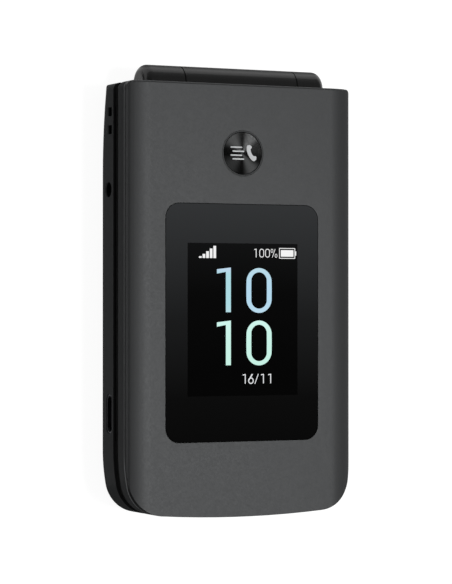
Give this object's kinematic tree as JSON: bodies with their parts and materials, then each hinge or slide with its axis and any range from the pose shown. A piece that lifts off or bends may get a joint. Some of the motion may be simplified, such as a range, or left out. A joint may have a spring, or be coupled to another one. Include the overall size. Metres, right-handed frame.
{
  "type": "flip phone",
  "caption": "Closed flip phone with an outer display, a round quick-dial button, a keypad and a removable rear cover, on a friction hinge.",
  "frame": {"origin": "centre of the flat back face, on the plane the closed phone lies on", "axes": "+X to the right of the lid, +Y to the hinge end, +Z out of the lid"},
  "size_m": [0.0579, 0.1036, 0.0178],
  "materials": {
    "lid_paint": "matte grey paint with a fine metallic grain",
    "frame_grey": "satin dark grey",
    "bezel_black": "fine matte black",
    "window_black": "polished, printed black from behind",
    "display_black": "dark display glass",
    "dial_metal": "spun dark metal",
    "key_grey": "satin dark grey",
    "key_green": "satin green",
    "key_red": "satin red",
    "steel": "plain steel",
    "copper": "bare copper alloy",
    "board_green": "green solder mask",
    "black_plastic": "moulded black",
    "battery_silver": "silver foil",
    "rubber_black": "soft black rubber",
    "flash_clear": "frosted clear"
  },
  "bodies": {
    "base": {"base_rear_housing": "frame_grey", "base_front_housing": "bezel_black", "battery": "battery_silver", "battery_contacts": "copper", "main_board": "board_green", "keypad_domes": "steel", "sim_holder": "steel", "usb_socket": "steel", "headphone_socket": "black_plastic", "camera_module": "black_plastic", "camera_window": "window_black", "camera_ring": "dial_metal", "flash_lens": "flash_clear", "loudspeaker": "black_plastic", "microphone": "steel", "vibration_motor": "steel", "antenna": "copper", "volume_switches": "steel", "base_screws": "steel", "hinge_bush": "steel", "hinge_cam_head": "steel"},
    "lid": {"hinge_cartridge": "steel", "hinge_flex": "copper", "lid_inner_housing": "bezel_black", "lid_frame": "frame_grey", "lid_front_cover": "lid_paint", "lid_board": "board_green", "lid_screws": "steel", "lid_bumpers": "rubber_black", "outer_window": "window_black", "outer_display": "display_black", "inner_window": "window_black", "inner_display": "display_black", "earpiece": "black_plastic", "earpiece_mesh": "steel", "quick_dial_ring": "dial_metal"},
    "rear_cover": {"rear_cover": "frame_grey"},
    "volume_rocker": {"volume_rocker": "key_grey"},
    "quick_dial_button": {"quick_dial_button": "dial_metal"},
    "key_1": {"key_1": "key_grey"},
    "key_2": {"key_2": "key_grey"},
    "key_3": {"key_3": "key_grey"},
    "key_4": {"key_4": "key_grey"},
    "key_5": {"key_5": "key_grey"},
    "key_6": {"key_6": "key_grey"},
    "key_7": {"key_7": "key_grey"},
    "key_8": {"key_8": "key_grey"},
    "key_9": {"key_9": "key_grey"},
    "key_star": {"key_star": "key_grey"},
    "key_0": {"key_0": "key_grey"},
    "key_hash": {"key_hash": "key_grey"},
    "soft_left_key": {"soft_left_key": "key_grey"},
    "soft_right_key": {"soft_right_key": "key_grey"},
    "call_key": {"call_key": "key_green"},
    "end_key": {"end_key": "key_red"},
    "camera_key": {"camera_key": "key_grey"},
    "message_key": {"message_key": "key_grey"},
    "back_key": {"back_key": "key_grey"},
    "nav_ring": {"nav_ring": "key_grey"},
    "ok_key": {"ok_key": "key_grey"}
  },
  "joints": [
    {"name": "lid_hinge", "type": "hinge", "parent": "base", "child": "lid", "pos_m": [0, 0.04755, 0.01065], "axis": [-1, 0, 0], "range_deg": [0, 160]},
    {"name": "rear_cover_lift", "type": "slide", "parent": "base", "child": "rear_cover", "axis": [0, 0, -1], "range_m": [0, 0.012]},
    {"name": "volume_rocker_tilt", "type": "hinge", "parent": "base", "child": "volume_rocker", "pos_m": [0.02711, 0.02005, 0.0064], "axis": [0, 0, 1], "range_deg": [-1.5, 1.5], "stiffness_Nm_per_rad": 0.05},
    {"name": "quick_dial_press", "type": "slide", "parent": "lid", "child": "quick_dial_button", "axis": [0, 0, -1], "range_m": [0, 0.0003], "stiffness_N_per_m": 600},
    {"name": "key_1_press", "type": "slide", "parent": "base", "child": "key_1", "axis": [0, 0, -1], "range_m": [0, 0.0003], "stiffness_N_per_m": 600},
    {"name": "key_2_press", "type": "slide", "parent": "base", "child": "key_2", "axis": [0, 0, -1], "range_m": [0, 0.0003], "stiffness_N_per_m": 600},
    {"name": "key_3_press", "type": "slide", "parent": "base", "child": "key_3", "axis": [0, 0, -1], "range_m": [0, 0.0003], "stiffness_N_per_m": 600},
    {"name": "key_4_press", "type": "slide", "parent": "base", "child": "key_4", "axis": [0, 0, -1], "range_m": [0, 0.0003], "stiffness_N_per_m": 600},
    {"name": "key_5_press", "type": "slide", "parent": "base", "child": "key_5", "axis": [0, 0, -1], "range_m": [0, 0.0003], "stiffness_N_per_m": 600},
    {"name": "key_6_press", "type": "slide", "parent": "base", "child": "key_6", "axis": [0, 0, -1], "range_m": [0, 0.0003], "stiffness_N_per_m": 600},
    {"name": "key_7_press", "type": "slide", "parent": "base", "child": "key_7", "axis": [0, 0, -1], "range_m": [0, 0.0003], "stiffness_N_per_m": 600},
    {"name": "key_8_press", "type": "slide", "parent": "base", "child": "key_8", "axis": [0, 0, -1], "range_m": [0, 0.0003], "stiffness_N_per_m": 600},
    {"name": "key_9_press", "type": "slide", "parent": "base", "child": "key_9", "axis": [0, 0, -1], "range_m": [0, 0.0003], "stiffness_N_per_m": 600},
    {"name": "key_star_press", "type": "slide", "parent": "base", "child": "key_star", "axis": [0, 0, -1], "range_m": [0, 0.0003], "stiffness_N_per_m": 600},
    {"name": "key_0_press", "type": "slide", "parent": "base", "child": "key_0", "axis": [0, 0, -1], "range_m": [0, 0.0003], "stiffness_N_per_m": 600},
    {"name": "key_hash_press", "type": "slide", "parent": "base", "child": "key_hash", "axis": [0, 0, -1], "range_m": [0, 0.0003], "stiffness_N_per_m": 600},
    {"name": "soft_left_key_press", "type": "slide", "parent": "base", "child": "soft_left_key", "axis": [0, 0, -1], "range_m": [0, 0.0003], "stiffness_N_per_m": 600},
    {"name": "soft_right_key_press", "type": "slide", "parent": "base", "child": "soft_right_key", "axis": [0, 0, -1], "range_m": [0, 0.0003], "stiffness_N_per_m": 600},
    {"name": "call_key_press", "type": "slide", "parent": "base", "child": "call_key", "axis": [0, 0, -1], "range_m": [0, 0.0003], "stiffness_N_per_m": 600},
    {"name": "end_key_press", "type": "slide", "parent": "base", "child": "end_key", "axis": [0, 0, -1], "range_m": [0, 0.0003], "stiffness_N_per_m": 600},
    {"name": "camera_key_press", "type": "slide", "parent": "base", "child": "camera_key", "axis": [0, 0, -1], "range_m": [0, 0.0003], "stiffness_N_per_m": 600},
    {"name": "message_key_press", "type": "slide", "parent": "base", "child": "message_key", "axis": [0, 0, -1], "range_m": [0, 0.0003], "stiffness_N_per_m": 600},
    {"name": "back_key_press", "type": "slide", "parent": "base", "child": "back_key", "axis": [0, 0, -1], "range_m": [0, 0.0003], "stiffness_N_per_m": 600},
    {"name": "nav_ring_press", "type": "slide", "parent": "base", "child": "nav_ring", "axis": [0, 0, -1], "range_m": [0, 0.0003], "stiffness_N_per_m": 600},
    {"name": "ok_key_press", "type": "slide", "parent": "base", "child": "ok_key", "axis": [0, 0, -1], "range_m": [0, 0.0003], "stiffness_N_per_m": 600}
  ]
}
